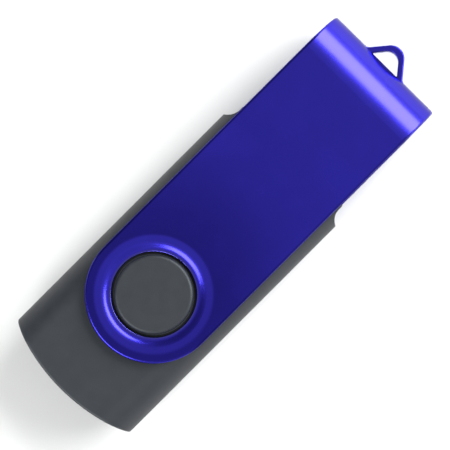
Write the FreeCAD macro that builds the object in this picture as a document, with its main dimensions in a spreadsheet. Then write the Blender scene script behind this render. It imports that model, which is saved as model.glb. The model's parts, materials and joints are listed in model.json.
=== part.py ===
# USB flash drive with a swivelling sheet-aluminium cover.
#
# Every sub-part is drawn about the swivel axis and the middle plane of the drive, and its
# Placement then lifts it so that the drive rests on z = 0 with its length centred on x = 0.
# +X runs from the rear of the body to the plug, the bend of the cover and the key loop.
import FreeCAD, Part
import os

import Sketcher

TINY = 1e-3

doc = FreeCAD.newDocument("usb_flash_drive")
sheet = doc.addObject("Spreadsheet::Sheet", "dims")

SIZES = [
    # swivel cover
    ("sheet_thick", 0.7), ("cover_width", 16.4), ("cover_high", 10.6), ("cover_tip", 39.0),
    ("cover_edge_round", 0.3), ("dish_radius", 7.1), ("dish_knee", 6.3), ("dish_mid", 5.8),
    ("dish_toe", 5.34), ("hole_radius", 5.12), ("dish_knee_drop", 0.063),
    ("dish_mid_drop", 0.213), ("dish_depth", 0.332), ("dish_upper_bend", 1.23),
    ("dish_lower_bend", 0.95), ("hole_edge_round", 0.05),
    ("slot_half", 2.0), ("slot_top", 2.5),
    ("loop_tip", 41.6), ("loop_tip_radius", 1.6), ("loop_inner_radius", 1.3),
    ("loop_tip_thick", 0.92), ("loop_lean", 50.4), ("loop_root_radius", 1.0),
    ("loop_half_high", 0.8), ("loop_middle", 0.4), ("loop_root_depth", 0.34),
    ("loop_edge_round", 0.15),
    # body shells
    ("body_width", 19.0), ("body_half", 4.2), ("body_side_radius", 3.45), ("body_rear", 15.8),
    ("rear_radius", 24.0), ("shoulder_begin", 21.05),
    ("nose_half", 8.35), ("nose_begin", 22.8), ("nose_end", 23.3),
    ("body_edge_round", 0.3), ("wall_thick", 1.2), ("cavity_half", 7.6), ("rear_wall", 1.6),
    ("front_wall_begin", 21.8), ("boss_base_radius", 5.04), ("boss_radius", 4.72),
    ("boss_step", 4.6), ("boss_top", 5.2), ("boss_round", 0.42), ("boss_core_radius", 3.5),
    ("boss_core_top", 4.0), ("plug_hole_half_width", 6.05), ("plug_hole_half_high", 2.3),
    ("tongue_inner", 8.2), ("tongue_wide", 0.6), ("tongue_deep", 0.5), ("tongue_begin", -11.0),
    ("tongue_end", 19.5), ("groove_gap", 0.05),
    ("post_radius", 0.9), ("post_side", 6.3), ("peg_radius", 0.5), ("peg_rise", 0.6),
    ("rear_post", -11.0), ("front_post", 13.2), ("rib_long", 1.2), ("rib_inner", 6.9),
    # plug
    ("plug_width", 12.0), ("plug_high", 4.5), ("plug_wall", 0.3), ("plug_corner", 0.6),
    ("plug_begin", 19.0), ("plug_tip", 35.8), ("window_wide", 2.2), ("window_long", 2.5),
    ("window_side", 2.6), ("window_from_tip", 6.4), ("seam_wide", 0.12), ("seam_deep", 0.12),
    ("leg_begin", 16.9), ("leg_top", 0.9), ("leg_tail_begin", 17.1), ("leg_tail_end", 18.5),
    ("leg_tail_low", -1.6), ("leg_overlap", 0.2), ("lead_in", 0.25),
    ("plug_edge_round", 0.08),
    ("insulator_gap", 0.05), ("base_begin", 19.2), ("base_end", 26.0), ("tongue_front", 35.5),
    ("contact_deck", -0.1), ("contact_low", -0.3), ("contact_thick", 0.25),
    ("contact_wide", 1.0), ("contact_gap", 0.02), ("contact_tail", 17.4),
    ("data_contact_tip", 33.9), ("power_contact_tip", 34.9), ("data_contact_side", 1.0),
    ("power_contact_side", 3.5), ("contact_nose_round", 0.18),
    # board and what is soldered to it
    ("board_begin", -12.4), ("board_end", 18.9), ("board_width", 14.6), ("board_top", -0.3),
    ("board_thick", 0.8), ("board_corner", 0.8), ("peg_hole_radius", 0.55),
    ("leg_slot_inner", 5.6), ("leg_slot_outer", 6.1), ("leg_slot_begin", 17.0),
    ("leg_slot_end", 18.6),
    ("controller_side", 7.0), ("controller_high", 1.4), ("controller_x", 5.6),
    ("memory_long", 18.4), ("memory_wide", 12.0), ("memory_high", 1.0), ("memory_x", 1.0),
    ("package_gap", 0.1), ("package_draft", 0.12), ("lead_pitch", 0.5), ("lead_wide", 0.22),
    ("lead_thick", 0.15), ("lead_foot", 0.5), ("lead_out", 0.8),
    ("crystal_long", 5.0), ("crystal_wide", 3.2), ("crystal_base_high", 0.7),
    ("crystal_lid_high", 0.4), ("crystal_lid_edge", 0.3), ("crystal_x", -2.6),
    ("crystal_y", 3.4),
    ("led_long", 1.6), ("led_wide", 0.8), ("led_high", 0.6), ("led_x", -11.2),
    ("chip_long", 1.6), ("chip_wide", 0.8), ("chip_cap_high", 0.8), ("chip_res_high", 0.45),
    ("chip_end_long", 0.3),
    ("regulator_long", 2.9), ("regulator_wide", 1.3), ("regulator_high", 1.0),
    ("regulator_x", 14.0), ("regulator_y", -3.4), ("regulator_pitch", 0.95),
    ("regulator_lead_wide", 0.4), ("regulator_lead_out", 0.55),
    ("bead_long", 2.0), ("bead_wide", 1.25), ("bead_high", 0.9), ("bead_x", 14.6),
    ("bead_y", 3.6), ("solder_long", 0.4), ("solder_high", 0.2), ("solder_wide", 1.2),
    ("fillet_radius_low", 0.45), ("fillet_radius_high", 0.85), ("fillet_high", 0.45),
]
for row, (alias, size) in enumerate(SIZES, 1):
    sheet.set("A%d" % row, alias)
    sheet.set("B%d" % row, str(size))
    sheet.setAlias("B%d" % row, alias)
doc.recompute()

# Where the small surface-mount chips lie on the board: (x, y) of each centre.
CAPACITOR_SPOTS = [(-7.6, 4.6), (-7.6, 2.4), (-7.0, -4.8), (0.4, -5.6), (11.6, 5.4),
                   (16.0, -0.9), (10.9, -5.9)]
RESISTOR_SPOTS = [(-7.6, 0.2), (-7.0, -2.6), (-3.2, -2.0), (-3.2, -4.2), (11.6, 1.2),
                  (11.6, -0.8)]


PIVOT_X = "(dims.body_rear - dims.loop_tip) / 2"
MIDDLE_Z = "dims.cover_high / 2"
SUB_PARTS = []


# ---------------------------------------------------------------- helpers

def value(expression):
    """Number that an expression over the sheet's sizes comes to."""
    return float(sheet.evalExpression(str(expression)))


def bind(thing, **expressions):
    """Tie properties of an object to expressions; Base_x stands for Placement.Base.x."""
    for name, expression in expressions.items():
        if name.startswith("Base_"):
            name = "Placement.Base." + name[5:]
        thing.setExpression(name, str(expression))


def stand(thing, label, x_mid="0", y_mid="0", level="0"):
    """Name a finished sub-part and move it to its place, given from the swivel axis."""
    thing.Label = label
    SUB_PARTS.append(label)
    bind(thing, Base_x="%s + %s" % (PIVOT_X, x_mid), Base_y=y_mid,
         Base_z="%s + %s" % (MIDDLE_Z, level))
    return thing


def sketch_on(body, name, role, offset="0"):
    """New sketch on one of the body's own origin planes, raised by offset."""
    sketch = body.newObject("Sketcher::SketchObject", name)
    plane = next(f for f in body.Origin.OriginFeatures if f.Role == role)
    sketch.AttachmentSupport = [(plane, "")]
    sketch.MapMode = "FlatFace"
    sketch.setExpression("AttachmentOffset.Base.z", offset)
    return sketch


def minor_arc(begin, end, radius, turn):
    """Arc of at most half a turn between two points; turn is 1 to the left, -1 to the right."""
    middle = (begin + end) / 2
    chord = end - begin
    rise = max(radius ** 2 - (chord.Length / 2) ** 2, 0) ** 0.5
    side = FreeCAD.Vector(-chord.y, chord.x, 0).normalize() * turn
    centre = middle + side * rise
    bulge = centre - side * radius
    return Part.Arc(begin, bulge, end) if turn > 0 else Part.Arc(end, bulge, begin)


def outline(sketch, corners):
    """Draw a closed outline. Each corner is (x, y), or (x, y, radius, turn) where an arc leads to it."""
    points = [FreeCAD.Vector(value(c[0]), value(c[1]), 0) for c in corners]
    ends, first = [], sketch.GeometryCount
    for i, corner in enumerate(corners):
        begin, end = points[i - 1], points[i]
        if len(corner) == 2:
            sketch.addGeometry(Part.LineSegment(begin, end))
            ends.append((1, 2))
        else:
            sketch.addGeometry(minor_arc(begin, end, value(corner[2]), corner[3]))
            ends.append((1, 2) if corner[3] > 0 else (2, 1))
    for i, corner in enumerate(corners):
        here, after = first + i, first + (i + 1) % len(corners)
        finish, start = ends[i][1], ends[(i + 1) % len(corners)][0]
        sketch.addConstraint(Sketcher.Constraint("Coincident", here, finish, after, start))
        for kind, expression, size in (("DistanceX", corner[0], points[i].x),
                                       ("DistanceY", corner[1], points[i].y)):
            tie = sketch.addConstraint(Sketcher.Constraint(kind, -1, 1, here, finish, size))
            sketch.setExpression("Constraints[%d]" % tie, str(expression))
        if len(corner) == 4:
            tie = sketch.addConstraint(Sketcher.Constraint("Radius", here, value(corner[2])))
            sketch.setExpression("Constraints[%d]" % tie, str(corner[2]))


def rectangle(sketch, x_low, x_high, y_low, y_high):
    outline(sketch, [(x_low, y_low), (x_high, y_low), (x_high, y_high), (x_low, y_high)])


def circle(sketch, radius, x_mid="0", y_mid="0"):
    centre = FreeCAD.Vector(value(x_mid), value(y_mid), 0)
    ring = sketch.addGeometry(Part.Circle(centre, FreeCAD.Vector(0, 0, 1), value(radius)))
    for kind, expression, size in (("DistanceX", x_mid, centre.x), ("DistanceY", y_mid, centre.y)):
        tie = sketch.addConstraint(Sketcher.Constraint(kind, -1, 1, ring, 3, size))
        sketch.setExpression("Constraints[%d]" % tie, str(expression))
    tie = sketch.addConstraint(Sketcher.Constraint("Radius", ring, value(radius)))
    sketch.setExpression("Constraints[%d]" % tie, str(radius))


def feature(body, kind, name, sketch, length, reverse=False, both_ways=False):
    """Pad or Pocket of a sketch, checked to have added or cut material."""
    before = body.Shape.Volume if body.Shape and not body.Shape.isNull() else 0.0
    made = body.newObject("PartDesign::" + kind, name)
    made.Profile = sketch
    made.setExpression("Length", length)
    made.Reversed = reverse
    made.SideType = "Symmetric" if both_ways else "One side"
    doc.recompute()
    grown = made.Shape.Volume - before
    if (grown <= 0) if kind == "Pad" else (grown >= 0):
        raise RuntimeError("%s of %s changed nothing" % (name, body.Name))
    return made


def round_edges(body, name, radius, wanted):
    """Fillet every edge of the body whose points all pass the test."""
    base = body.Tip
    picked = []
    for i, edge in enumerate(base.Shape.Edges, 1):
        if edge.Length > TINY and all(wanted(p) for p in edge.discretize(Number=7)):
            picked.append("Edge%d" % i)
    if not picked:
        raise RuntimeError("no edge found for %s of %s" % (name, body.Name))
    made = body.newObject("PartDesign::Fillet", name)
    made.Base = (base, picked)
    made.setExpression("Radius", radius)
    doc.recompute()
    return made


def mirror(body, name, source, role):
    plane = next(f for f in body.Origin.OriginFeatures if f.Role == role)
    made = body.newObject("PartDesign::Mirrored", name)
    made.Originals = [source]
    made.MirrorPlane = (plane, [""])
    body.Tip = made
    doc.recompute()
    return made


def block(name, long, wide, high, x_mid, y_mid, z_low):
    """Box centred on (x_mid, y_mid) whose underside is at z_low."""
    made = doc.addObject("Part::Box", name)
    bind(made, Length=long, Width=wide, Height=high,
         Base_x="%s - (%s) / 2" % (x_mid, long), Base_y="%s - (%s) / 2" % (y_mid, wide),
         Base_z=z_low)
    return made


def single(label, long, wide, high, x_mid, y_mid, level):
    """Sub-part that is one plain block."""
    made = doc.addObject("Part::Box", label)
    bind(made, Length=long, Width=wide, Height=high)
    return stand(made, label, "%s - %s / 2" % (x_mid, long), "%s - %s / 2" % (y_mid, wide), level)


def joined(label, pieces):
    """One sub-part made of several separate solids of the same kind."""
    made = doc.addObject("Part::MultiFuse", label)
    made.Shapes = pieces
    return stand(made, label)


def near(a, b, slack=0.02):
    return abs(a - b) < slack


# ---------------------------------------------------------------- swivel cover

def build_cover():
    body = doc.addObject("PartDesign::Body", "swivel_cover")
    outer, inner = "dims.cover_high / 2", "dims.cover_high / 2 - dims.sheet_thick"
    bend = "dims.cover_tip - dims.cover_high / 2"
    arm_end = "-dims.cover_width / 2"

    profile = sketch_on(body, "u_profile", "XZ_Plane")
    outline(profile, [
        (arm_end, "-(%s)" % outer), (bend, "-(%s)" % outer),
        ("dims.cover_tip", "0", outer, 1), (bend, outer, outer, 1),
        (arm_end, outer), (arm_end, inner), (bend, inner),
        ("dims.cover_tip - dims.sheet_thick", "0", inner, -1), (bend, "-(%s)" % inner, inner, -1),
        (arm_end, "-(%s)" % inner)])
    feature(body, "Pad", "folded_sheet", profile, "dims.cover_width", both_ways=True)

    half, spare = "dims.cover_width / 2", "dims.cover_width / 2 + 1"
    ends = sketch_on(body, "arm_end_outline", "XY_Plane")
    outline(ends, [
        ("0", half, half, -1), ("0", spare), ("-(%s)" % spare, spare),
        ("-(%s)" % spare, "-(%s)" % spare), ("0", "-(%s)" % spare), ("0", "-(%s)" % half),
        ("-(%s)" % half, "0", half, -1)])
    feature(body, "Pocket", "round_arm_ends", ends, "dims.cover_high + 2", both_ways=True)

    half_high, half_wide = value(outer), value(half)
    bend_x = value(bend)

    def on_outline(point, level):
        across = abs(point.y) if point.x > 0 else (point.x ** 2 + point.y ** 2) ** 0.5
        away = abs(point.z) if point.x < bend_x else ((point.x - bend_x) ** 2 + point.z ** 2) ** 0.5
        return near(across, half_wide) and near(away, level)

    round_edges(body, "outer_edge_round", "dims.cover_edge_round",
                lambda p: on_outline(p, half_high))

    disc = sketch_on(body, "dish_seat", "XY_Plane")
    circle(disc, "dims.dish_radius")
    feature(body, "Pocket", "dish_opening", disc, "dims.cover_high + 2", both_ways=True)

    dish = sketch_on(body, "dish_profile", "XZ_Plane")
    top = [("dims.dish_radius", outer), ("dims.dish_knee", outer + " - dims.dish_knee_drop"),
           ("dims.dish_mid", outer + " - dims.dish_mid_drop", "dims.dish_upper_bend", 1),
           ("dims.dish_toe", outer + " - dims.dish_depth", "dims.dish_lower_bend", -1),
           ("dims.hole_radius", outer + " - dims.dish_depth")]
    lower = [(x, y + " - dims.sheet_thick") for x, y in (corner[:2] for corner in reversed(top))]
    lower[2] += ("dims.dish_lower_bend", 1)
    lower[3] += ("dims.dish_upper_bend", -1)
    outline(dish, top + lower)
    ring = body.newObject("PartDesign::Revolution", "dished_ring")
    ring.Profile = dish
    ring.ReferenceAxis = (dish, ["V_Axis"])
    ring.Angle = 360
    doc.recompute()
    mirror(body, "opposite_ring", ring, "XY_Plane")

    hole, lip = value("dims.hole_radius"), value(outer + " - dims.dish_depth")
    round_edges(body, "hole_edge_round", "dims.hole_edge_round",
                lambda p: near((p.x ** 2 + p.y ** 2) ** 0.5, hole) and near(abs(p.z), lip))

    slot = sketch_on(body, "slot_outline", "YZ_Plane", bend)
    floor = "dims.loop_middle - dims.loop_half_high"
    outline(slot, [
        ("-dims.slot_half", floor), ("dims.slot_half", floor),
        ("dims.slot_half", "dims.slot_top - dims.slot_half"),
        ("0", "dims.slot_top", "dims.slot_half", 1),
        ("-dims.slot_half", "dims.slot_top - dims.slot_half", "dims.slot_half", 1)])
    feature(body, "Pocket", "lanced_slot", slot, "dims.cover_high", reverse=True)

    # Key loop: two straight legs, leaning from the bend to a rounded tip, pushed out of the slot.
    face = "(%s + sqrt((%s) ^ 2 - (dims.loop_middle + dims.loop_half_high) ^ 2))" % (bend, outer)
    root = "(%s - dims.loop_root_depth)" % face
    lean, radius, inside = "dims.loop_lean", "dims.loop_tip_radius", "dims.loop_inner_radius"
    outer_x = "(dims.loop_tip - {r} + {r} * cos({a}))".format(r=radius, a=lean)
    outer_y = "({r} * sin({a}))".format(r=radius, a=lean)
    inner_x = "(dims.loop_tip - dims.loop_tip_thick - {r} + {r} * cos({a}))".format(r=inside, a=lean)
    inner_y = "({r} * sin({a}))".format(r=inside, a=lean)
    flare = "(dims.loop_root_radius * tan({a} / 2))".format(a=lean)
    corner_y = "({y} + ({x} - {f}) / tan({a}))".format(y=outer_y, x=outer_x, f=face, a=lean)
    foot_y = "({y} + ({x} - {f}) / tan({a}))".format(y=inner_y, x=inner_x, f=root, a=lean)
    leg_x = "({f} + {l} * sin({a}))".format(f=face, l=flare, a=lean)
    leg_y = "({y} - {l} * cos({a}))".format(y=corner_y, l=flare, a=lean)
    base_y = "({y} + {l})".format(y=corner_y, l=flare)
    loop = sketch_on(body, "loop_outline", "XY_Plane", "dims.loop_middle")
    outline(loop, [
        (root, "-" + base_y), (face, "-" + base_y), (leg_x, "-" + leg_y, "dims.loop_root_radius", -1),
        (outer_x, "-" + outer_y), ("dims.loop_tip", "0", radius, 1), (outer_x, outer_y, radius, 1),
        (leg_x, leg_y), (face, base_y, "dims.loop_root_radius", -1), (root, base_y),
        (root, foot_y), (inner_x, inner_y),
        ("dims.loop_tip - dims.loop_tip_thick", "0", inside, -1), (inner_x, "-" + inner_y, inside, -1),
        (root, "-" + foot_y)])
    feature(body, "Pad", "key_loop", loop, "2 * dims.loop_half_high", both_ways=True)
    strip, middle = value("dims.loop_half_high"), value("dims.loop_middle")
    beyond = value("dims.cover_tip") + 0.05
    round_edges(body, "loop_edge_round", "dims.loop_edge_round",
                lambda p: near(abs(p.z - middle), strip) and p.x > beyond)
    stand(body, "swivel_cover")


build_cover()


# ---------------------------------------------------------------- body shells

def plan_outline():
    """Seen from above: arched rear, straight sides, hollow shoulders and the nose."""
    half = "(dims.body_width / 2)"
    rear_x = "(dims.rear_radius - dims.body_rear - sqrt(dims.rear_radius ^ 2 - %s ^ 2))" % half
    # the hollow of each shoulder runs out along the side of the nose
    drop, run = "(%s - dims.nose_half)" % half, "(dims.nose_begin - dims.shoulder_begin)"
    hollow = "(({r} ^ 2 + {d} ^ 2) / (2 * {d}))".format(r=run, d=drop)
    return [
        ("dims.nose_end", "-dims.nose_half"), ("dims.nose_end", "dims.nose_half"),
        ("dims.nose_begin", "dims.nose_half"),
        ("dims.shoulder_begin", half, hollow, -1), (rear_x, half),
        ("-dims.body_rear", "0", "dims.rear_radius", 1),
        (rear_x, "-" + half, "dims.rear_radius", 1), ("dims.shoulder_begin", "-" + half),
        ("dims.nose_begin", "-dims.nose_half", hollow, -1)]


def build_shell(label, upper):
    """One half of the moulded body: drawn whole, then cut away beyond the middle plane."""
    body = doc.addObject("PartDesign::Body", label)
    side = "" if upper else "-"
    down = not upper

    plan = sketch_on(body, "plan_outline", "XY_Plane")
    outline(plan, plan_outline())
    feature(body, "Pad", "whole_block", plan, "2 * dims.body_half", both_ways=True)

    half, high, bend = "(dims.body_width / 2)", "dims.body_half", "dims.body_side_radius"
    corners = sketch_on(body, "side_rounding", "YZ_Plane", "-dims.body_rear - 1")
    for left, low in (("", ""), ("-", ""), ("-", "-"), ("", "-")):
        outline(corners, [
            (left + "(%s + 1)" % half, low + "(%s - %s)" % (high, bend)),
            (left + "(%s + 1)" % half, low + "(%s + 1)" % high),
            (left + "(%s - %s)" % (half, bend), low + "(%s + 1)" % high),
            (left + "(%s - %s)" % (half, bend), low + high),
            (left + half, low + "(%s - %s)" % (high, bend), bend, -1 if left == low else 1)])
    feature(body, "Pocket", "rounded_sides", corners, "dims.body_rear + dims.nose_end + 2",
            reverse=True)

    rear_arch, arch_x = value("dims.rear_radius"), value("dims.rear_radius - dims.body_rear")
    round_edges(body, "rear_edge_round", "dims.body_edge_round",
                lambda p: p.x < 0 and near(((p.x - arch_x) ** 2 + p.y ** 2) ** 0.5, rear_arch))

    spare = sketch_on(body, "other_half", "XY_Plane")
    rectangle(spare, "-dims.body_rear - 1", "dims.nose_end + 1", "-dims.body_width", "dims.body_width")
    feature(body, "Pocket", "parting_plane", spare, "dims.body_half + 1", reverse=down)

    # cavity with the nose wall in front of it, and half of the opening for the plug
    arch = "(dims.rear_radius - dims.rear_wall)"
    back = "(dims.rear_radius - dims.body_rear - sqrt(%s ^ 2 - dims.cavity_half ^ 2))" % arch
    room = sketch_on(body, "cavity_outline", "XY_Plane")
    outline(room, [
        ("dims.front_wall_begin", "-dims.cavity_half"), ("dims.front_wall_begin", "dims.cavity_half"),
        (back, "dims.cavity_half"), (back, "-dims.cavity_half", arch, 1)])
    feature(body, "Pocket", "cavity", room, "dims.body_half - dims.wall_thick", reverse=upper)
    mouth = sketch_on(body, "plug_opening_outline", "YZ_Plane", "dims.front_wall_begin - 1")
    rectangle(mouth, "-dims.plug_hole_half_width", "dims.plug_hole_half_width",
              "-dims.plug_hole_half_high", "dims.plug_hole_half_high")
    feature(body, "Pocket", "plug_opening", mouth, "dims.nose_end - dims.front_wall_begin + 2",
            reverse=True)

    # pivot boss that the cover turns on: a bearing step below, a rounded button above
    level = side + "dims.body_half"
    for name, radius, top in (("boss_bearing", "dims.boss_base_radius", "dims.boss_step"),
                              ("boss_button", "dims.boss_radius", "dims.boss_top")):
        disc = sketch_on(body, name + "_outline", "XY_Plane", level)
        circle(disc, radius)
        feature(body, "Pad", name, disc, top + " - dims.body_half", reverse=down)
    button, top = value("dims.boss_radius"), value("dims.boss_top")
    round_edges(body, "button_round", "dims.boss_round",
                lambda p: near((p.x ** 2 + p.y ** 2) ** 0.5, button) and near(abs(p.z), top))
    core = sketch_on(body, "boss_core_outline", "XY_Plane")
    circle(core, "dims.boss_core_radius")
    feature(body, "Pocket", "boss_core", core, "dims.boss_core_top", reverse=upper)

    # tongue on the upper rim, groove in the lower one
    gap = "0" if upper else "dims.groove_gap"
    rim = sketch_on(body, "tongue_outline", "XY_Plane")
    inner, outer = "dims.tongue_inner - %s" % gap, "dims.tongue_inner + dims.tongue_wide + %s" % gap
    for low, high in ((inner, outer), ("-(%s)" % outer, "-(%s)" % inner)):
        rectangle(rim, "dims.tongue_begin - %s" % gap, "dims.tongue_end + %s" % gap, low, high)
    feature(body, "Pad" if upper else "Pocket", "tongue" if upper else "groove", rim,
            "dims.tongue_deep + %s" % gap, reverse=upper)

    # what holds the board: ribs press on it from above, posts with pegs carry it from below
    inside = "dims.body_half - dims.wall_thick"
    spots = [(x, way) for x in ("dims.rear_post", "dims.front_post") for way in ("", "-")]
    if upper:
        ribs = sketch_on(body, "rib_outline", "XY_Plane", "dims.board_top")
        for x, way in spots:
            low, high = way + "dims.rib_inner", way + "(dims.cavity_half - dims.groove_gap)"
            if way:
                low, high = high, low
            rectangle(ribs, x + " - dims.rib_long / 2", x + " + dims.rib_long / 2", low, high)
        feature(body, "Pad", "clamping_ribs", ribs, inside + " - dims.board_top")
    else:
        for name, radius, rise in (("posts", "dims.post_radius", "0"),
                                   ("pegs", "dims.peg_radius", "dims.board_thick + dims.peg_rise")):
            discs = sketch_on(body, name + "_outline", "XY_Plane", "-(%s)" % inside)
            for x, way in spots:
                circle(discs, radius, x, way + "dims.post_side")
            feature(body, "Pad", name, discs,
                    inside + " + dims.board_top - dims.board_thick + " + rise)
    return body


for name, upper in (("upper_shell", True), ("lower_shell", False)):
    stand(build_shell(name, upper), name)


# ---------------------------------------------------------------- plug

def rounded_box_section(sketch, half_wide, half_high, radius):
    """Rectangle with equal rounded corners, centred on the sketch's origin."""
    wide, high = "(%s)" % half_wide, "(%s)" % half_high
    flat_w, flat_h = "(%s - %s)" % (wide, radius), "(%s - %s)" % (high, radius)
    outline(sketch, [
        (flat_w, "-" + high), (wide, "-" + flat_h, radius, 1),
        (wide, flat_h), (flat_w, high, radius, 1),
        ("-" + flat_w, high), ("-" + wide, flat_h, radius, 1),
        ("-" + wide, "-" + flat_h), ("-" + flat_w, "-" + high, radius, 1)])


def build_plug_shell():
    body = doc.addObject("PartDesign::Body", "plug_shell")
    half_w, half_h, wall = "dims.plug_width / 2", "dims.plug_high / 2", "dims.plug_wall"
    section = sketch_on(body, "tube_section", "YZ_Plane", "dims.plug_begin")
    rounded_box_section(section, half_w, half_h, "dims.plug_corner")
    feature(body, "Pad", "plug_block", section, "dims.plug_tip - dims.plug_begin")
    bore = sketch_on(body, "tube_bore", "YZ_Plane", "dims.plug_begin")
    rounded_box_section(bore, "%s - %s" % (half_w, wall), "%s - %s" % (half_h, wall),
                        "(dims.plug_corner - %s)" % wall)
    feature(body, "Pocket", "folded_tube", bore, "dims.plug_tip - dims.plug_begin", reverse=True)

    windows = sketch_on(body, "window_outlines", "XY_Plane")
    middle = "dims.plug_tip - dims.window_from_tip"
    for way in ("", "-"):
        side = way + "dims.window_side"
        rectangle(windows, "%s - dims.window_long / 2" % middle, "%s + dims.window_long / 2" % middle,
                  "%s - dims.window_wide / 2" % side, "%s + dims.window_wide / 2" % side)
    feature(body, "Pocket", "latch_windows", windows, "dims.plug_high + 1", both_ways=True)

    seam = sketch_on(body, "seam_outline", "XY_Plane", "-dims.plug_high / 2")
    rectangle(seam, "dims.plug_begin", "dims.plug_tip", "-dims.seam_wide / 2", "dims.seam_wide / 2")
    feature(body, "Pocket", "fold_seam", seam, "dims.seam_deep", reverse=True)

    legs = sketch_on(body, "leg_outline", "XZ_Plane", half_w + " - " + wall)
    outline(legs, [
        ("dims.leg_begin", "dims.board_top"), ("dims.leg_tail_begin", "dims.board_top"),
        ("dims.leg_tail_begin", "dims.leg_tail_low"), ("dims.leg_tail_end", "dims.leg_tail_low"),
        ("dims.leg_tail_end", "dims.board_top"), ("dims.plug_begin + dims.leg_overlap", "dims.board_top"),
        ("dims.plug_begin + dims.leg_overlap", "dims.leg_top"), ("dims.leg_begin", "dims.leg_top")])
    leg = feature(body, "Pad", "board_leg", legs, wall)
    mirror(body, "opposite_leg", leg, "XZ_Plane")

    tip = value("dims.plug_tip")
    outer = (value(half_w), value(half_h))
    round_edges(body, "tip_edge_round", "dims.plug_edge_round",
                lambda p: near(p.x, tip) and (near(abs(p.y), outer[0], 0.19)
                                              or near(abs(p.z), outer[1], 0.19)))
    stand(body, "plug_shell")


def contact_places():
    """Name, side and front end of each contact, across the plug."""
    return [("plug_contact_power", "dims.power_contact_side", "dims.power_contact_tip"),
            ("plug_contact_data_minus", "dims.data_contact_side", "dims.data_contact_tip"),
            ("plug_contact_data_plus", "-dims.data_contact_side", "dims.data_contact_tip"),
            ("plug_contact_ground", "-dims.power_contact_side", "dims.power_contact_tip")]


def build_insulator():
    body = doc.addObject("PartDesign::Body", "plug_insulator")
    half_w = "(dims.plug_width / 2 - dims.plug_wall - dims.insulator_gap)"
    half_h = "(dims.plug_high / 2 - dims.plug_wall - dims.insulator_gap)"
    bar = sketch_on(body, "tongue_section", "XZ_Plane")
    outline(bar, [
        ("dims.base_begin", "-" + half_h), ("dims.tongue_front - dims.lead_in", "-" + half_h),
        ("dims.tongue_front", "-" + half_h + " + dims.lead_in"),
        ("dims.tongue_front", "dims.contact_deck - dims.lead_in"),
        ("dims.tongue_front - dims.lead_in", "dims.contact_deck"),
        ("dims.base_end", "dims.contact_deck"), ("dims.base_end", half_h),
        ("dims.base_begin", half_h)])
    feature(body, "Pad", "tongue_and_base", bar, "2 * " + half_w, both_ways=True)

    side, top = value(half_w), value(half_h)
    round_edges(body, "long_edge_round", "dims.plug_corner - dims.plug_wall",
                lambda p: near(abs(p.y), side) and near(abs(p.z), top))

    grooves = sketch_on(body, "groove_outlines", "XY_Plane", "dims.contact_low")
    for name, side, tip in contact_places():
        half = "(dims.contact_wide / 2 + dims.contact_gap)"
        rectangle(grooves, "dims.base_begin - 1", tip + " + dims.contact_gap",
                  "%s - %s" % (side, half), "%s + %s" % (side, half))
    feature(body, "Pocket", "contact_grooves", grooves, "dims.contact_thick + dims.contact_gap",
            reverse=True)
    stand(body, "plug_insulator")


def build_contact(label, side, tip):
    body = doc.addObject("PartDesign::Body", label)
    strip = sketch_on(body, "strip_side", "XZ_Plane", "-(%s)" % side)
    low, high, nose = "dims.contact_low", "(dims.contact_low + dims.contact_thick)", \
        "dims.contact_nose_round"
    outline(strip, [
        ("dims.contact_tail", low), (tip, low), (tip, "%s - %s" % (high, nose)),
        ("%s - %s" % (tip, nose), high, nose, 1), ("dims.contact_tail", high)])
    feature(body, "Pad", "strip", strip, "dims.contact_wide", both_ways=True)
    stand(body, label)


build_plug_shell()
build_insulator()
for contact in contact_places():
    build_contact(*contact)


# ---------------------------------------------------------------- circuit board

def build_board():
    body = doc.addObject("PartDesign::Body", "circuit_board")
    half, corner = "(dims.board_width / 2)", "dims.board_corner"
    plan = sketch_on(body, "board_outline", "XY_Plane", "dims.board_top - dims.board_thick")
    outline(plan, [
        ("dims.board_end", "-" + half), ("dims.board_end", half),
        ("dims.board_begin + " + corner, half),
        ("dims.board_begin", "%s - %s" % (half, corner), corner, 1),
        ("dims.board_begin", "-(%s - %s)" % (half, corner)),
        ("dims.board_begin + " + corner, "-" + half, corner, 1)])
    feature(body, "Pad", "laminate", plan, "dims.board_thick")
    cuts = sketch_on(body, "board_openings", "XY_Plane", "dims.board_top")
    for way in ("", "-"):
        for x in ("dims.rear_post", "dims.front_post"):
            circle(cuts, "dims.peg_hole_radius", x, way + "dims.post_side")
        low, high = sorted((way + "dims.leg_slot_inner", way + "dims.leg_slot_outer"), key=value)
        rectangle(cuts, "dims.leg_slot_begin", "dims.leg_slot_end", low, high)
    feature(body, "Pocket", "peg_holes_and_leg_slots", cuts, "dims.board_thick")
    stand(body, "circuit_board")


def package(label, long, wide, high, x_mid, y_mid, under=False):
    """Moulded chip package: a block whose sides slope in from its middle to its two faces."""
    body = doc.addObject("PartDesign::Body", label)
    thick = "(%s - dims.package_gap)" % high
    for name, way in (("upper_half", False), ("lower_half", True)):
        plan = sketch_on(body, name + "_outline", "XY_Plane")
        rectangle(plan, "-%s / 2" % long, "%s / 2" % long, "-%s / 2" % wide, "%s / 2" % wide)
        half = feature(body, "Pad", name, plan, thick + " / 2", reverse=way)
        half.setExpression("TaperAngle", "-atan(2 * dims.package_draft / %s)" % thick)
        doc.recompute()
    rise = "(dims.package_gap + %s / 2)" % thick
    level = ("dims.board_top - dims.board_thick - " if under else "dims.board_top + ") + rise
    return stand(body, label, x_mid, y_mid, level)


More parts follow.
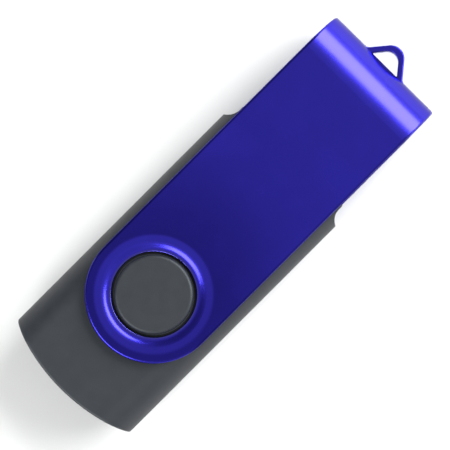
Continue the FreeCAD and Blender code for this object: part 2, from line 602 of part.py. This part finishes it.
def gull_leads(label, reach, high, x_mid, y_mid, count, sides, pitch="dims.lead_pitch",
               wide="dims.lead_wide", out="dims.lead_out", under=False):
    """Bent leads on the sides of a package, each with a foot on the board and a run to the package."""
    body = doc.addObject("PartDesign::Body", label)
    thick, edge = "dims.lead_thick", "(%s / 2)" % reach
    middle = "(dims.package_gap + (%s - dims.package_gap) / 2)" % high
    bend = "(%s + %s - %s)" % (edge, out, "dims.lead_foot")
    up = "-" if under else ""
    side = sketch_on(body, "lead_side", "XZ_Plane", "%s * %g" % (pitch, (count - 1) / 2))
    outline(side, [
        (edge, up + "(%s - %s / 2)" % (middle, thick)), (bend, up + "(%s - %s / 2)" % (middle, thick)),
        (bend, "0"), ("%s + %s" % (edge, out), "0"), ("%s + %s" % (edge, out), up + thick),
        ("%s + %s" % (bend, thick), up + thick),
        ("%s + %s" % (bend, thick), up + "(%s + %s / 2)" % (middle, thick)),
        (edge, up + "(%s + %s / 2)" % (middle, thick))])
    lead = feature(body, "Pad", "lead", side, wide, both_ways=True)
    axes = {f.Role: f for f in body.Origin.OriginFeatures}
    many = doc.addObject("PartDesign::MultiTransform", "all_leads")
    body.addObject(many)
    many.Originals = [lead]
    row = doc.addObject("PartDesign::LinearPattern", "lead_row")
    body.addObject(row)
    row.Direction = (axes["Y_Axis"], [""])
    row.Occurrences = count
    row.setExpression("Length", "%s * %d" % (pitch, count - 1))
    turn = doc.addObject("PartDesign::PolarPattern", "lead_sides")
    body.addObject(turn)
    turn.Axis = (axes["Z_Axis"], [""])
    turn.Angle = 360
    turn.Occurrences = sides
    many.Transformations = [row, turn]
    body.Tip = many
    doc.recompute()
    if len(body.Shape.Solids) != count * sides:
        raise RuntimeError("%s has %d leads" % (label, len(body.Shape.Solids)))
    level = "dims.board_top - dims.board_thick" if under else "dims.board_top"
    return stand(body, label, x_mid, y_mid, level)


build_board()
package("controller_chip", "dims.controller_side", "dims.controller_side", "dims.controller_high",
        "dims.controller_x", "0")
gull_leads("controller_leads", "dims.controller_side", "dims.controller_high",
           "dims.controller_x", "0", 12, 4)
package("memory_chip", "dims.memory_long", "dims.memory_wide", "dims.memory_high",
        "dims.memory_x", "0", under=True)
gull_leads("memory_leads", "dims.memory_long", "dims.memory_high", "dims.memory_x", "0", 23, 2,
           under=True)
package("voltage_regulator", "dims.regulator_wide", "dims.regulator_long", "dims.regulator_high",
        "dims.regulator_x", "dims.regulator_y")

TOP = "dims.board_top"
crystal_top = TOP + " + dims.crystal_base_high"
single("crystal_base", "dims.crystal_long", "dims.crystal_wide", "dims.crystal_base_high",
       "dims.crystal_x", "dims.crystal_y", TOP)
single("crystal_lid", "(dims.crystal_long - 2 * dims.crystal_lid_edge)",
       "(dims.crystal_wide - 2 * dims.crystal_lid_edge)", "dims.crystal_lid_high",
       "dims.crystal_x", "dims.crystal_y", crystal_top)
single("status_led", "dims.led_wide", "dims.led_long", "dims.led_high", "dims.led_x", "0", TOP)
single("ferrite_bead", "dims.bead_long", "dims.bead_wide", "dims.bead_high", "dims.bead_x",
       "dims.bead_y", TOP)

# chips of one kind share a sub-part, and so do the metal ends of that kind
for kind, spots, high in (("capacitor", CAPACITOR_SPOTS, "dims.chip_cap_high"),
                          ("resistor", RESISTOR_SPOTS, "dims.chip_res_high")):
    middle_long = "(dims.chip_long - 2 * dims.chip_end_long)"
    joined(kind + "s", [block(kind, middle_long, "dims.chip_wide", high, x, y, TOP)
                        for x, y in spots])
    joined(kind + "_ends", [
        block(kind + "_end", "dims.chip_end_long", "dims.chip_wide", high,
              "%s %s (dims.chip_long - dims.chip_end_long) / 2" % (x, way), y, TOP)
        for x, y in spots for way in "+-"])

# three legs of the regulator: two on one side, one on the other
legs = []
for way, row in ((-1, (-1, 1)), (1, (0,))):
    for place in row:
        x = "dims.regulator_x %s (dims.regulator_wide / 2 + dims.regulator_lead_out / 2)" % (
            "+" if way > 0 else "-")
        legs.append(block("regulator_leg", "dims.regulator_lead_out", "dims.regulator_lead_wide",
                          "dims.regulator_high / 2", x,
                          "dims.regulator_y + %d * dims.regulator_pitch" % place, TOP))
joined("regulator_leads", legs)

# solder: a bead behind each contact tail and a cone around each leg of the plug's shell
beads = [block("solder_bead", "dims.solder_long", "dims.solder_wide", "dims.solder_high",
               "dims.contact_tail - dims.solder_long / 2", side, TOP)
         for _, side, _ in contact_places()]
cones = []
for way in ("", "-"):
    cone = doc.addObject("Part::Cone", "solder_cone")
    leg_y = way + "(dims.plug_width / 2 - dims.plug_wall / 2)"
    leg_x = "(dims.leg_tail_begin + dims.leg_tail_end) / 2"
    low = "dims.board_top - dims.board_thick - dims.fillet_high"
    bind(cone, Radius1="dims.fillet_radius_low", Radius2="dims.fillet_radius_high",
         Height="dims.fillet_high", Base_x=leg_x, Base_y=leg_y, Base_z=low)
    tail = block("leg_passage", "dims.leg_tail_end - dims.leg_tail_begin", "dims.plug_wall",
                 "2 * dims.fillet_high", leg_x, leg_y, low)
    ring = doc.addObject("Part::Cut", "solder_ring")
    ring.Base, ring.Tool = cone, tail
    cones.append(ring)
joined("solder_joints", beads + cones)


# ---------------------------------------------------------------- checks and files

doc.recompute()
finished = [item for item in doc.Objects if item.Label in SUB_PARTS]
if sorted(item.Label for item in finished) != sorted(SUB_PARTS):
    raise RuntimeError("a sub-part is missing or doubled")
for item in doc.Objects:
    if "Invalid" in item.State or "Error" in item.State:
        raise RuntimeError("%s failed to compute" % item.Name)
for item in finished:
    if item.Shape.isNull() or not item.Shape.isValid():
        raise RuntimeError("%s has no valid shape" % item.Label)

os.makedirs("parts", exist_ok=True)
for item in finished:
    item.Shape.exportStep("parts/%s.step" % item.Label)
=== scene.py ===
"""Looks of the swivel USB flash drive: materials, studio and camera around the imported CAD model."""
import json
import math

import bpy
from mathutils import Matrix, Vector


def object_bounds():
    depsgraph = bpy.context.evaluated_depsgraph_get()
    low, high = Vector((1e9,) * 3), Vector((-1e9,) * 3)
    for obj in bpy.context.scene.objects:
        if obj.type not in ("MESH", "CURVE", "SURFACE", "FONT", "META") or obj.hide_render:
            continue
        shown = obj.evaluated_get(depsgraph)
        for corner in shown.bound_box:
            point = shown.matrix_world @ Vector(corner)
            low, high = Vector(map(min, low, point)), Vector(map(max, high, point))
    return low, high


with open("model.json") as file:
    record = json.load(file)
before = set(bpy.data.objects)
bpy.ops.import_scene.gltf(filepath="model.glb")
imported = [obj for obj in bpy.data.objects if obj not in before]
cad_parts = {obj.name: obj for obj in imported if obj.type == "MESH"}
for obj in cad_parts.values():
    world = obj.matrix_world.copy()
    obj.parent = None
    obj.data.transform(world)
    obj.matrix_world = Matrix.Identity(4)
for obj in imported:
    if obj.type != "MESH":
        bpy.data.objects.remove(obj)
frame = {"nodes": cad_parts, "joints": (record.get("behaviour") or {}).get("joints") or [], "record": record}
cad_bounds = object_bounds()

MM = 0.001
NODES = frame["nodes"]
PIVOT = Vector(next(j for j in frame["joints"] if j["name"] == "cover_swivel")["pos_m"])

# Where finishes and painted shade change, each as the distances at which the change begins and ends.
# From the swivel axis:
HALO = (5.0 * MM, 21.0 * MM)              # painted shade: a dark patch round the ring, fading along the arm
RING_FOOT = (6.8 * MM, 7.35 * MM)       # foot of the dished ring, where the painted shade begins
HOLE_LIP = (5.24 * MM, 5.40 * MM)         # cut edge of the hole in each arm, lightened as a painted highlight
GAP_INSIDE = (4.74 * MM, 4.90 * MM)       # running gap between boss and hole, darkened as painted shade
GAP_OUTSIDE = (5.02 * MM, 5.12 * MM)
# From the drive's middle planes:
ARM_SIDE = (7.86 * MM, 8.0 * MM)          # long edges of the cover, sideways, where painted shade darkens the outer face
ARM_FACE = (4.94 * MM, 5.02 * MM)         # and from mid-height
PARTING_LINE = (0.03 * MM, 0.07 * MM)     # joint of the two shells

# Bands of noise that a finish follows: most of its range, its centre, its upper side
WIDE, NARROW, UPPER = (0.3, 0.7), (0.35, 0.65), (0.35, 0.7)

scene = bpy.context.scene


# ---------------------------------------------------------------- material helpers

def connect(tree, value, socket):
    """Link an output to the socket, or set a plain value on it."""
    if isinstance(value, bpy.types.NodeSocket):
        tree.links.new(value, socket)
    else:
        socket.default_value = value


def soft_step(tree, value, begin, end, low, high):
    """low up to begin, high beyond end, eased between; each is a number or an output."""
    node = tree.nodes.new("ShaderNodeMapRange")
    node.interpolation_type = "SMOOTHSTEP"
    for name, amount in (("Value", value), ("From Min", begin), ("From Max", end),
                         ("To Min", low), ("To Max", high)):
        connect(tree, amount, node.inputs[name])
    return node.outputs["Result"]


class Paint:
    """One procedural material: a Principled surface and the few texture steps it is built from."""

    def __init__(self, name, roughness=0.5, metallic=0.0, specular=0.5):
        self.material = bpy.data.materials.new(name)
        self.material.use_nodes = True
        self.tree = self.material.node_tree
        self.surface = self.tree.nodes["Principled BSDF"]
        self.surface.inputs["Roughness"].default_value = roughness
        self.surface.inputs["Metallic"].default_value = metallic
        self.surface.inputs["Specular IOR Level"].default_value = specular
        self.place = self.tree.nodes.new("ShaderNodeTexCoord").outputs["Object"]

    def link(self, value, socket):
        """Link an output of this material, or a plain value, to a socket."""
        connect(self.tree, value, socket)

    def stretched(self, factors):
        """Object coordinates scaled by a factor along each axis."""
        mapping = self.tree.nodes.new("ShaderNodeMapping")
        mapping.inputs["Scale"].default_value = factors
        self.link(self.place, mapping.inputs["Vector"])
        return mapping.outputs["Vector"]

    def noise(self, size, detail=3.0, roughness=0.55, along=None):
        """Noise whose features are about size metres across."""
        node = self.tree.nodes.new("ShaderNodeTexNoise")
        self.link(along or self.place, node.inputs["Vector"])
        node.inputs["Scale"].default_value = 1.0 / size
        node.inputs["Detail"].default_value = detail
        node.inputs["Roughness"].default_value = roughness
        return node.outputs["Fac"]

    def grains(self, size):
        """Cell pattern, for blasted metal and moulded texture."""
        node = self.tree.nodes.new("ShaderNodeTexVoronoi")
        node.feature = "SMOOTH_F1"
        self.link(self.place, node.inputs["Vector"])
        node.inputs["Scale"].default_value = 1.0 / size
        return node.outputs["Distance"]

    def remap(self, value, begin, end, low, high):
        """low up to begin, high beyond end, with a soft step between them."""
        return soft_step(self.tree, value, begin, end, low, high)

    def blend(self, factor, first, second):
        """Number: first where factor is 0, second where it is 1."""
        node = self.tree.nodes.new("ShaderNodeMix")
        for name, value in (("Factor", factor), ("A", first), ("B", second)):
            self.link(value, node.inputs[name])
        return node.outputs["Result"]

    def mix(self, factor, first, second):
        """Colour: first where factor is 0, second where it is 1."""
        colour_a, colour_b, colour_result = 6, 7, 2
        node = self.tree.nodes.new("ShaderNodeMix")
        node.data_type = "RGBA"
        self.link(factor, node.inputs["Factor"])
        self.link(first, node.inputs[colour_a])
        self.link(second, node.inputs[colour_b])
        return node.outputs[colour_result]

    def from_pivot(self):
        """Distance from the swivel axis, in metres."""
        value = self.place
        for operation, operand in (("SUBTRACT", PIVOT), ("MULTIPLY", (1.0, 1.0, 0.0)),
                                   ("LENGTH", None)):
            node = self.tree.nodes.new("ShaderNodeVectorMath")
            node.operation = operation
            self.link(value, node.inputs[0])
            if operand is not None:
                node.inputs[1].default_value = operand
            value = node.outputs["Value" if operation == "LENGTH" else "Vector"]
        return value

    def off_plane(self, axis, level):
        """Distance to either side of the plane where the axis has that value, in metres."""
        split = self.tree.nodes.new("ShaderNodeSeparateXYZ")
        self.link(self.place, split.inputs["Vector"])
        offset = self.combine(split.outputs[axis], level, "SUBTRACT")
        return self.combine(offset, 0.0, "ABSOLUTE")

    def combine(self, first, second, operation="ADD"):
        """One arithmetic step on two numbers."""
        node = self.tree.nodes.new("ShaderNodeMath")
        node.operation = operation
        self.link(first, node.inputs[0])
        self.link(second, node.inputs[1])
        return node.outputs[0]

    def edges(self, radius):
        """1 on sharp edges, 0 on flat faces: how far a rounded normal leans from the true one."""
        still_flat, full_edge = 0.98, 0.75
        bevel = self.tree.nodes.new("ShaderNodeBevel")
        bevel.samples = 4
        bevel.inputs["Radius"].default_value = radius
        geometry = self.tree.nodes.new("ShaderNodeNewGeometry")
        dot = self.tree.nodes.new("ShaderNodeVectorMath")
        dot.operation = "DOT_PRODUCT"
        self.link(bevel.outputs["Normal"], dot.inputs[0])
        self.link(geometry.outputs["Normal"], dot.inputs[1])
        return self.remap(dot.outputs["Value"], still_flat, full_edge, 0.0, 1.0)

    def relief(self, height, depth, strength=1.0, under=None):
        """Bump of that depth in metres, laid over the relief under it, if any."""
        node = self.tree.nodes.new("ShaderNodeBump")
        node.inputs["Distance"].default_value = depth
        node.inputs["Strength"].default_value = strength
        self.link(height, node.inputs["Height"])
        if under is not None:
            self.link(under, node.inputs["Normal"])
        self.link(node.outputs["Normal"], self.surface.inputs["Normal"])
        return node.outputs["Normal"]

    def colour(self, value):
        self.link(value, self.surface.inputs["Base Color"])

    def rough(self, value):
        self.link(value, self.surface.inputs["Roughness"])


def rgb(red, green, blue):
    """Opaque colour in linear light."""
    return (red, green, blue, 1.0)


# ---------------------------------------------------------------- materials

def anodised_aluminium():
    """Satin blue anodising on finely blasted sheet, with painted shade round the ring and along the long
    edges, and edges lighter partly from wear and partly as a painted highlight.
    """
    paint = Paint("blue_anodised_aluminium", metallic=1.0)
    away = paint.from_pivot()
    cloud = paint.noise(7 * MM, detail=2.0)
    # Painted shade: outside the ring's foot the colour and coat darken, fading back along the arm
    halo_shade = paint.remap(away, *HALO, 0.58, 1.0)
    unshaded_ring = paint.remap(away, *RING_FOOT, 1.0, 0.0)
    # Painted shade along the cover's long outer edges: half the colour and coat there, and no wear
    long_edge_shade = paint.combine(paint.remap(paint.off_plane("Y", PIVOT.y), *ARM_SIDE, 0.0, 0.5),
                              paint.remap(paint.off_plane("Z", PIVOT.z), *ARM_FACE, 0.0, 1.0),
                              "MULTIPLY")
    off_long_edge = paint.combine(1.0, long_edge_shade, "SUBTRACT")
    painted_shade_factor = paint.combine(paint.blend(unshaded_ring, halo_shade, 1.0), off_long_edge, "MULTIPLY")
    full = paint.mix(paint.remap(cloud, *NARROW, 0.0, 1.0),
                     rgb(0.0285, 0.0185, 0.425), rgb(0.0300, 0.0197, 0.445))
    # The dye colour scaled towards black by the painted shade
    shaded_dye = paint.mix(painted_shade_factor, rgb(0.0, 0.0, 0.0), full)
    rubbed = paint.combine(paint.remap(paint.noise(0.8 * MM), *UPPER, 0.35, 0.60), off_long_edge,
                           "MULTIPLY")
    # Painted highlight: lighter colour on the cut lip of the hole
    hole_lip_highlight = paint.remap(away, *HOLE_LIP, 0.42, 0.0)
    # Edges lighter partly from wear and partly as a painted highlight
    wear_and_highlight = paint.combine(paint.combine(paint.edges(0.22 * MM), rubbed, "MULTIPLY"), hole_lip_highlight, "MAXIMUM")
    paint.colour(paint.mix(wear_and_highlight, shaded_dye, rgb(0.110, 0.095, 0.34)))
    paint.rough(paint.remap(cloud, *NARROW, 0.265, 0.280))
    oxide = paint.surface.inputs
    # The coat is thinned by the same painted shade
    paint.link(paint.combine(painted_shade_factor, 0.34, "MULTIPLY"), oxide["Coat Weight"])
    oxide["Coat Roughness"].default_value = 0.20
    oxide["Coat IOR"].default_value = 1.5
    oxide["Specular Tint"].default_value = rgb(0.52, 0.50, 0.58)
    paint.relief(paint.grains(0.05 * MM), 0.002 * MM, 0.15)
    return paint.material


def moulded_abs():
    """Dark grey ABS from a spark-eroded mould; painted shade in the gap round the boss, and a dark parting
    line.
    """
    paint = Paint("grey_abs")
    away = paint.from_pivot()
    cloud = paint.noise(6 * MM)
    clean = paint.mix(paint.remap(cloud, *WIDE, 0.0, 1.0),
                      rgb(0.0100, 0.0107, 0.0150), rgb(0.0112, 0.0119, 0.0164))
    # Painted shade in the gap between boss and hole
    gap_shade = paint.combine(paint.remap(away, *GAP_INSIDE, 0.0, 1.0),
                        paint.remap(away, *GAP_OUTSIDE, 1.0, 0.0), "MULTIPLY")
    handled = paint.combine(paint.edges(0.15 * MM),
                            paint.remap(paint.noise(1.2 * MM), *UPPER, 0.0, 0.3), "MULTIPLY")
    parting = paint.remap(paint.off_plane("Z", PIVOT.z), *PARTING_LINE, 1.0, 0.0)
    # Near black with less gloss: painted shade in the gap round the boss, and the dark seam along the
    # parting line
    gap_shade_and_seam = paint.combine(gap_shade, parting, "MAXIMUM")
    paint.colour(paint.mix(gap_shade_and_seam, paint.mix(handled, clean, rgb(0.030, 0.031, 0.036)),
                           rgb(0.004, 0.004, 0.005)))
    paint.link(paint.remap(gap_shade_and_seam, 0.0, 1.0, 0.5, 0.12),
               paint.surface.inputs["Specular IOR Level"])
    paint.rough(paint.remap(paint.noise(1.5 * MM), *WIDE, 0.50, 0.56))
    skin = paint.relief(paint.noise(0.12 * MM, detail=2.0), 0.006 * MM, 0.35)
    uneven = paint.relief(cloud, 0.03 * MM, 0.15, under=skin)
    level = paint.remap(parting, 0.0, 1.0, 1.0, 0.0)
    paint.relief(level, 0.04 * MM, 0.8, under=uneven)
    return paint.material


def plated_steel():
    """Nickel-plated strip steel with fine rolling lines and light insertion scuffs."""
    paint = Paint("plated_steel", metallic=1.0)
    lines = paint.noise(0.08 * MM, along=paint.stretched((0.03, 1.0, 1.0)))
    scuffs = paint.noise(0.3 * MM, detail=4.0, along=paint.stretched((0.08, 1.0, 1.0)))
    cloud = paint.noise(3 * MM)
    paint.colour(paint.mix(cloud, rgb(0.36, 0.355, 0.345), rgb(0.44, 0.435, 0.42)))
    paint.rough(paint.combine(paint.remap(lines, *WIDE, 0.22, 0.30),
                              paint.remap(scuffs, 0.6, 0.75, 0.0, 0.12)))
    paint.relief(lines, 0.002 * MM, 0.3)
    return paint.material


def tinned_metal():
    """Dull reflowed tin on leads, chip ends and solder."""
    paint = Paint("tinned_lead", metallic=1.0)
    cloud = paint.noise(0.3 * MM)
    paint.colour(paint.mix(cloud, rgb(0.34, 0.34, 0.335), rgb(0.44, 0.44, 0.435)))
    paint.rough(paint.remap(cloud, *WIDE, 0.25, 0.42))
    paint.relief(cloud, 0.01 * MM, 0.4)
    return paint.material


def gold_contact():
    """Gold flash over nickel, wiped brighter along the middle of the strip."""
    paint = Paint("gold_contact", metallic=1.0)
    wiped = paint.noise(0.25 * MM, along=paint.stretched((0.05, 1.0, 1.0)))
    paint.colour(paint.mix(wiped, rgb(0.58, 0.36, 0.12), rgb(0.68, 0.48, 0.19)))
    paint.rough(paint.remap(wiped, *WIDE, 0.18, 0.30))
    paint.relief(wiped, 0.002 * MM, 0.3)
    return paint.material


def moulded(name, dark, light, rough):
    """Any other moulded or fired piece: two close tones, uneven gloss and a fine skin."""
    paint = Paint(name)
    cloud = paint.noise(1.2 * MM)
    paint.colour(paint.mix(cloud, rgb(*dark), rgb(*light)))
    paint.rough(paint.remap(cloud, *WIDE, rough - 0.05, rough + 0.06))
    paint.relief(paint.noise(0.15 * MM), 0.006 * MM, 0.4)
    return paint.material


def solder_mask():
    """Green mask over copper tracks, which show as slightly raised, lighter bands."""
    paint = Paint("green_laminate", specular=0.6)
    tracks = paint.noise(0.9 * MM, detail=0.0, along=paint.stretched((0.25, 1.0, 1.0)))
    band = paint.remap(tracks, 0.48, 0.50, 0.0, 1.0)
    paint.colour(paint.mix(band, rgb(0.008, 0.07, 0.025), rgb(0.02, 0.14, 0.05)))
    paint.rough(paint.remap(paint.noise(0.5 * MM), *WIDE, 0.22, 0.34))
    paint.relief(band, 0.02 * MM, 0.5)
    return paint.material


FINISHES = {
    "blue_anodised_aluminium": anodised_aluminium,
    "grey_abs": moulded_abs,
    "plated_steel": plated_steel,
    "tinned_lead": tinned_metal,
    "gold_contact": gold_contact,
    "green_laminate": solder_mask,
}
# Dark tone, light tone and roughness of each other moulded or fired piece
MOULDED = {
    "black_plastic": ((0.012, 0.012, 0.013), (0.018, 0.018, 0.019), 0.45),
    "epoxy_package": ((0.014, 0.014, 0.015), (0.024, 0.024, 0.025), 0.55),
    "crystal_ceramic": ((0.55, 0.48, 0.34), (0.68, 0.60, 0.44), 0.6),
    "led_resin": ((0.74, 0.74, 0.60), (0.86, 0.86, 0.74), 0.25),
    "ferrite": ((0.03, 0.03, 0.032), (0.05, 0.05, 0.052), 0.6),
    "capacitor_ceramic": ((0.32, 0.22, 0.13), (0.42, 0.30, 0.18), 0.5),
    "resistor_ceramic": ((0.012, 0.012, 0.014), (0.022, 0.022, 0.026), 0.3),
}


def dress_nodes():
    """Give every CAD node the material of its record slot."""
    made = {}
    for part in frame["record"]["subparts"]:
        slot = part["material_slot"]
        if slot not in made:
            made[slot] = FINISHES[slot]() if slot in FINISHES else moulded(slot, *MOULDED[slot])
        mesh = NODES[part["node"]].data
        mesh.materials.clear()
        mesh.materials.append(made[slot])


dress_nodes()


# ---------------------------------------------------------------- studio

# Lengths in metres, unless it says otherwise
FLOOR_SIDE = 0.8
BOX_DISTANCE = 0.6
BOX_COLOUR = (0.90, 0.99, 1.0)
TENT_COLOUR = rgb(0.92, 0.985, 1.0)
# Dark round patch where the lens is: its direction, its radii in degrees, its strength
LENS_DIRECTION = Vector((-0.021, 0.031, 1.0))
LENS_CORE, LENS_EDGE = 3, 9
LENS_STRENGTH = 0.36
# Camera, measured from the swivel axis; sensor and focal length in millimetres
CAMERA_HEIGHT, CAMERA_ASIDE, CAMERA_AHEAD = 340 * MM, -11.5 * MM, 11.80 * MM
AIM_ASIDE = 0.01 * MM
SENSOR_WIDTH, FOCAL_LENGTH = 36.0, 226.3


def floor():
    """Plain pale paper under the drive."""
    bpy.ops.mesh.primitive_plane_add(size=FLOOR_SIDE, location=(0, 0, cad_bounds[0][2]))
    sheet = bpy.context.object
    sheet.name = "paper_floor"
    paint = Paint("pale_paper", roughness=0.7, specular=0.3)
    fibre = paint.noise(4 * MM, detail=4.0)
    paint.colour(paint.mix(fibre, rgb(0.725, 0.668, 0.660), rgb(0.740, 0.683, 0.675)))
    paint.relief(paint.noise(0.4 * MM), 0.01 * MM, 0.2)
    sheet.data.materials.append(paint.material)


def softbox(name, azimuth, elevation, wide, high, radiance):
    """Rectangular area light aimed at the drive; azimuth from +X towards +Y, angles in degrees."""
    turn, rise = math.radians(azimuth), math.radians(elevation)
    away = Vector((math.cos(turn) * math.cos(rise), math.sin(turn) * math.cos(rise),
                   math.sin(rise)))
    light = bpy.data.lights.new(name, "AREA")
    light.shape = "RECTANGLE"
    light.size, light.size_y = wide, high
    light.energy = radiance * math.pi * wide * high
    light.color = BOX_COLOUR
    lamp = bpy.data.objects.new(name, light)
    lamp.location = Vector((0, 0, PIVOT.z)) + away * BOX_DISTANCE
    lamp.rotation_euler = away.to_track_quat("Z", "Y").to_euler()
    scene.collection.objects.link(lamp)


def surroundings():
    """White tent, bright near the floor and dimmer above, with the dark lens overhead."""
    world = bpy.data.worlds.new("studio")
    world.use_nodes = True
    scene.world = world
    tree = world.node_tree
    look = tree.nodes.new("ShaderNodeTexCoord").outputs["Generated"]
    split = tree.nodes.new("ShaderNodeSeparateXYZ")
    tree.links.new(look, split.inputs["Vector"])
    aside, up = split.outputs["Y"], split.outputs["Z"]
    # strength from the -Y side to the +Y side, low down and high up
    far_horizon = soft_step(tree, aside, 0.2, 0.8, 1.10, 1.6)
    horizon = soft_step(tree, aside, -0.8, -0.2, 2.1, far_horizon)
    far_overhead = soft_step(tree, aside, 0.1, 0.4, 0.70, 0.22)
    overhead = soft_step(tree, aside, -0.5, 0.1, 0.62, far_overhead)
    tent = soft_step(tree, up, 0.0, 0.42, horizon, overhead)
    toward_lens = tree.nodes.new("ShaderNodeVectorMath")
    toward_lens.operation = "DOT_PRODUCT"
    tree.links.new(look, toward_lens.inputs[0])
    toward_lens.inputs[1].default_value = LENS_DIRECTION.normalized()
    edge, core = math.cos(math.radians(LENS_EDGE)), math.cos(math.radians(LENS_CORE))
    light = soft_step(tree, toward_lens.outputs["Value"], edge, core, tent, LENS_STRENGTH)
    tree.links.new(light, tree.nodes["Background"].inputs["Strength"])
    tree.nodes["Background"].inputs["Color"].default_value = TENT_COLOUR


def camera():
    """Long lens almost straight above; the drive's length rises along the picture's diagonal."""
    aim = Vector((PIVOT.x + CAMERA_AHEAD, AIM_ASIDE, PIVOT.z))
    place = Vector((PIVOT.x + CAMERA_AHEAD, CAMERA_ASIDE, PIVOT.z + CAMERA_HEIGHT))
    back = (place - aim).normalized()
    up = Vector((1, 1, 0))
    right = up.cross(back).normalized()
    up = back.cross(right)
    lens = bpy.data.cameras.new("camera")
    lens.sensor_width, lens.lens = SENSOR_WIDTH, FOCAL_LENGTH
    lens.clip_start, lens.clip_end = 0.01, 20.0
    eye = bpy.data.objects.new("camera", lens)
    eye.matrix_world = Matrix.Translation(place) @ Matrix((right, up, back)).transposed().to_4x4()
    scene.collection.objects.link(eye)
    scene.camera = eye


floor()
softbox("plug_end_box", -12, 36, 0.70, 0.40, 9.8)
softbox("rear_end_box", 180, 38, 0.40, 0.34, 8.0)
surroundings()
camera()
scene.view_settings.view_transform = "Standard"
scene.view_settings.look = "None"
